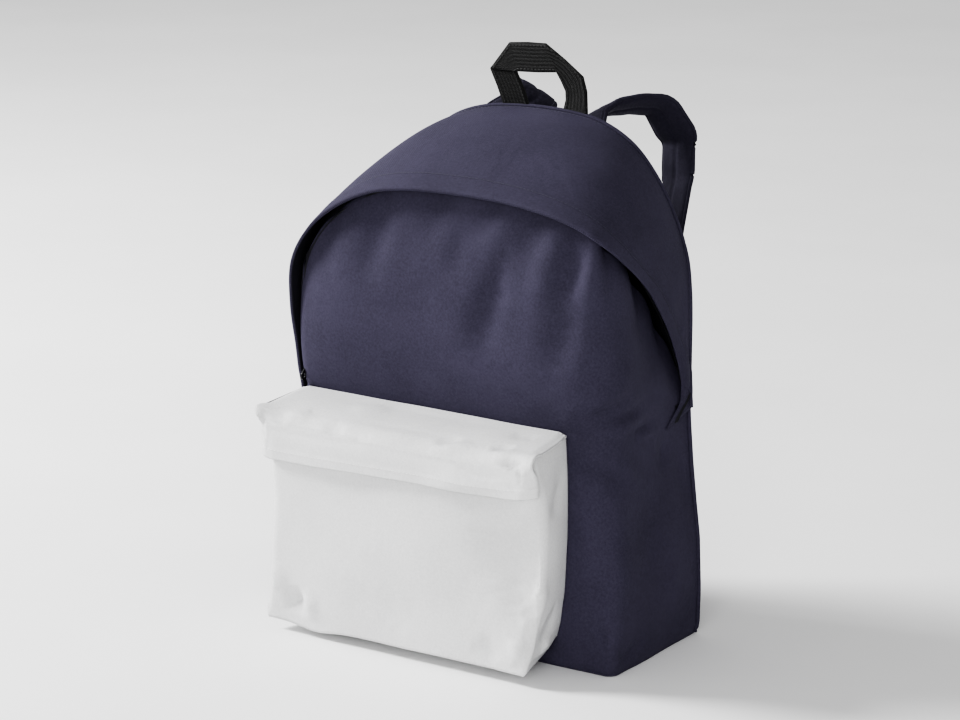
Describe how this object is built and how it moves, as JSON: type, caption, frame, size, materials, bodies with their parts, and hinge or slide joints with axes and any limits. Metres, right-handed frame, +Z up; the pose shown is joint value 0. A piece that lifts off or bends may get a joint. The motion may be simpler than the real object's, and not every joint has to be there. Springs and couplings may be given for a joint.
{
  "type": "school backpack",
  "caption": "Soft fabric daypack with an arched hood over the zip, a box-shaped front pocket under a flap, a webbing grab handle and two padded shoulder straps.",
  "frame": {"origin": "centre of the bag's base, where it meets the surface it stands on", "axes": "+Z up along the bag's height, -Y towards the front pocket, +Y towards the shoulder straps, +X to the right seen from the front"},
  "size_m": [0.314, 0.2877, 0.473],
  "materials": {
    "navy_fabric": "plain-woven polyester, matt",
    "light_fabric": "plain-woven polyester, matt",
    "lining_fabric": "thin coated lining, matt",
    "strap_fabric": "plain-woven polyester over foam, matt",
    "foam": "closed-cell foam",
    "stiffener_board": "thin plastic board",
    "webbing": "herringbone-woven webbing",
    "zip_tape": "knitted zip tape with coil teeth",
    "light_zip_tape": "knitted zip tape with coil teeth",
    "zip_metal": "black enamelled die-cast metal",
    "light_zip_metal": "grey enamelled die-cast metal",
    "black_plastic": "moulded nylon"
  },
  "bodies": {
    "bag": {"back_foam": "foam", "back_lining": "lining_fabric", "back_panel": "navy_fabric", "back_seam_binding": "lining_fabric", "base_panel": "navy_fabric", "base_stiffener": "stiffener_board", "handle_anchor_tabs": "webbing", "hood": "navy_fabric", "hood_facing": "lining_fabric", "hood_zip_tape": "zip_tape", "left_corner_tab": "navy_fabric", "left_hood_zip_tape": "zip_tape", "left_side_web": "navy_fabric", "left_web_zip_tape": "zip_tape", "left_webbing": "webbing", "main_zip_stop": "zip_metal", "pocket_front": "light_fabric", "pocket_gusset": "light_fabric", "pocket_header": "light_fabric", "pocket_top": "light_fabric", "pocket_zip_stops": "light_zip_metal", "pocket_zip_tape_high": "light_zip_tape", "pocket_zip_tape_low": "light_zip_tape", "right_corner_tab": "navy_fabric", "right_hood_zip_tape": "zip_tape", "right_side_web": "navy_fabric", "right_web_zip_tape": "zip_tape", "right_webbing": "webbing", "strap_yoke": "strap_fabric", "tub_wrap": "navy_fabric"},
    "front_panel": {"front_panel": "navy_fabric", "panel_zip_tape": "zip_tape"},
    "main_zip_slider": {"main_zip_slider": "zip_metal"},
    "main_zip_pull": {"main_zip_pull": "zip_metal"},
    "pocket_flap": {"pocket_flap": "light_fabric"},
    "pocket_zip_slider": {"pocket_zip_slider": "light_zip_metal"},
    "pocket_zip_pull": {"pocket_zip_pull": "light_zip_metal"},
    "grab_handle": {"grab_handle": "webbing"},
    "left_strap": {"left_strap_face": "strap_fabric", "left_strap_foam": "foam", "left_strap_lining": "strap_fabric", "left_ladder_lock": "black_plastic", "left_lock_loop": "webbing"},
    "right_strap": {"right_strap_face": "strap_fabric", "right_strap_foam": "foam", "right_strap_lining": "strap_fabric", "right_ladder_lock": "black_plastic", "right_lock_loop": "webbing"}
  },
  "joints": [
    {"name": "front_panel_fold", "type": "hinge", "parent": "bag", "child": "front_panel", "pos_m": [0, -0.065, 0.1962], "axis": [1, 0, 0], "range_deg": [0, 60]},
    {"name": "main_zip_travel", "type": "slide", "parent": "bag", "child": "main_zip_slider", "axis": [0, 0, 1], "range_m": [0, 0.094]},
    {"name": "main_zip_pull_swing", "type": "hinge", "parent": "main_zip_slider", "child": "main_zip_pull", "pos_m": [-0.1426, -0.05, 0.216], "axis": [1, 0, 0], "range_deg": [-25, 50]},
    {"name": "pocket_flap_lift", "type": "hinge", "parent": "bag", "child": "pocket_flap", "pos_m": [0, -0.1258, 0.1866], "axis": [-1, 0, 0], "range_deg": [0, 85]},
    {"name": "pocket_zip_travel", "type": "slide", "parent": "bag", "child": "pocket_zip_slider", "axis": [1, 0, 0], "range_m": [0, 0.226]},
    {"name": "pocket_zip_pull_swing", "type": "hinge", "parent": "pocket_zip_slider", "child": "pocket_zip_pull", "pos_m": [-0.128, -0.1236, 0.163], "axis": [0, 1, 0], "range_deg": [-60, 60]},
    {"name": "grab_handle_swing", "type": "hinge", "parent": "bag", "child": "grab_handle", "pos_m": [0, 0.0618, 0.4216], "axis": [1, 0, 0], "range_deg": [-20, 75]},
    {"name": "left_strap_swing", "type": "hinge", "parent": "bag", "child": "left_strap", "pos_m": [-0.05, 0.076, 0.404], "axis": [1, 0, 0], "range_deg": [0, 20]},
    {"name": "right_strap_swing", "type": "hinge", "parent": "bag", "child": "right_strap", "pos_m": [0.05, 0.076, 0.404], "axis": [1, 0, 0], "range_deg": [0, 20]}
  ]
}
